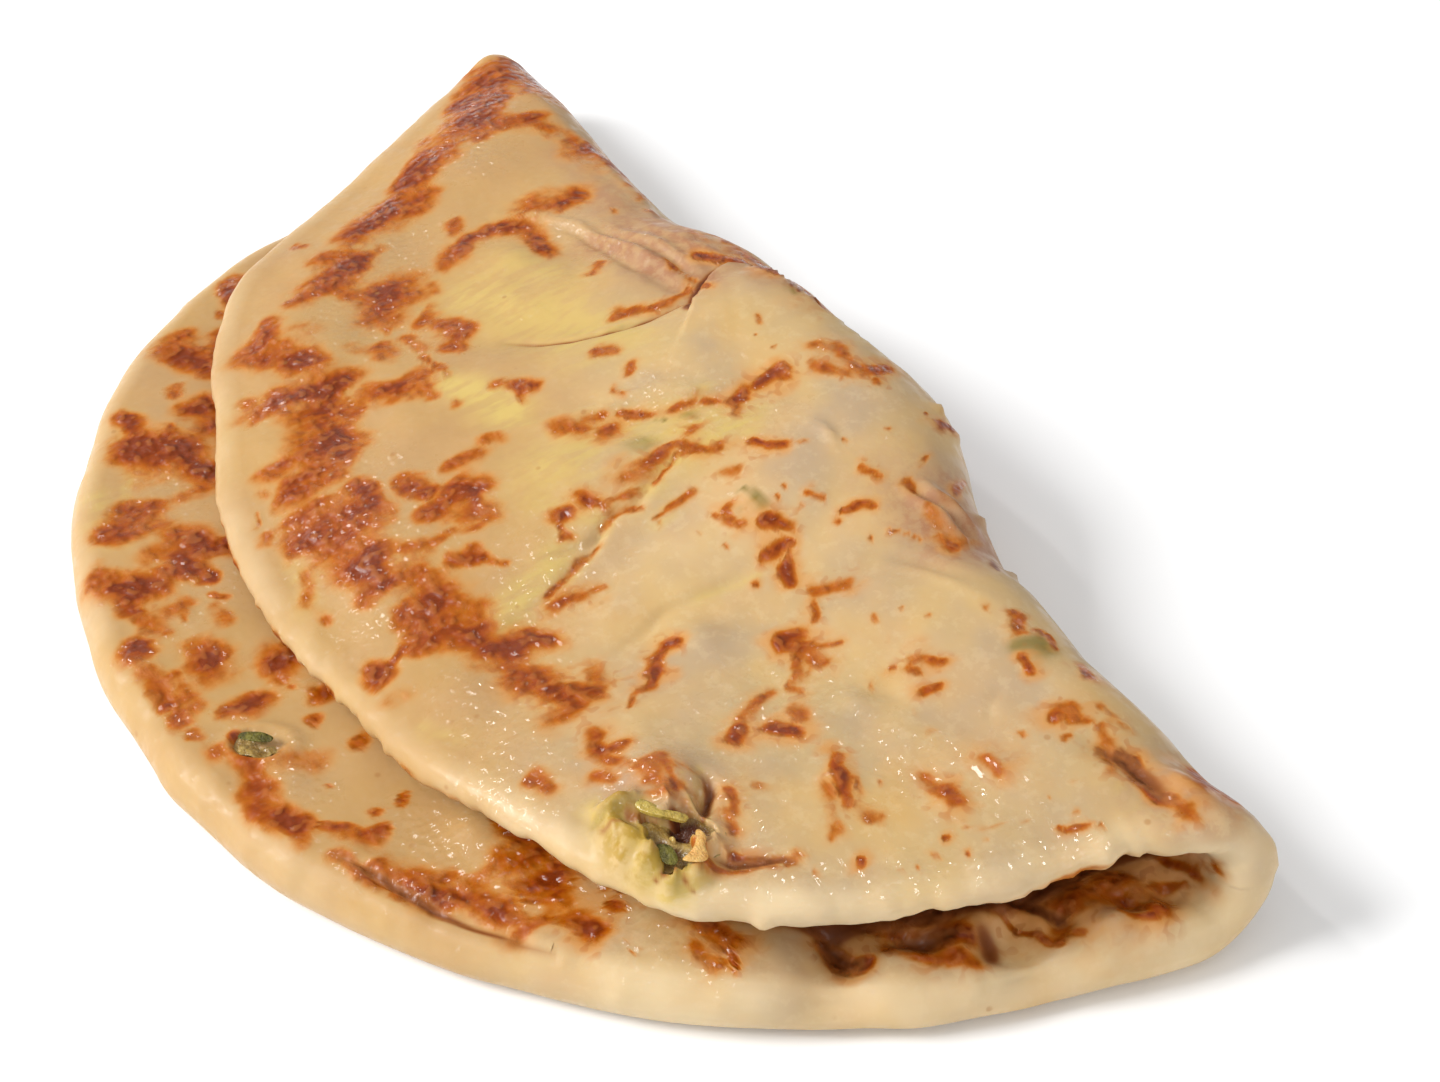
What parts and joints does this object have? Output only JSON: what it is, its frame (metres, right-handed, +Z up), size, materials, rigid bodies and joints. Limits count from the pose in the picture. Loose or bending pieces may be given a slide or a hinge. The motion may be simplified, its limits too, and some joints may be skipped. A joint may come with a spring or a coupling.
{
  "type": "folded stuffed flatbread",
  "caption": "Stuffed flatbread folded in half, browned on a griddle, lying flat with its filling showing where the dough has burst.",
  "frame": {"origin": "on the surface it lies on, under the middle of the bread's bounding box", "axes": "+X along the fold, from its pulled-out tip to its open tip; +Y towards the back of the fold; +Z up"},
  "size_m": [0.2356, 0.1306, 0.0314],
  "materials": {
    "dough": "soft baked dough, pale and browned in spots, oily sheen",
    "filling": "moist mashed filling, yellow with spice",
    "onion": "translucent, moist",
    "herb": "wilted leaf, dark green, moist"
  },
  "bodies": {
    "root": {"bread": "dough", "filling_in_flap": "filling", "filling_in_lower_layer": "filling", "herb_leaf_on_flap": "herb", "herb_leaf_on_lower_layer": "herb", "onion_curl": "onion", "onion_strip": "onion"}
  },
  "joints": []
}
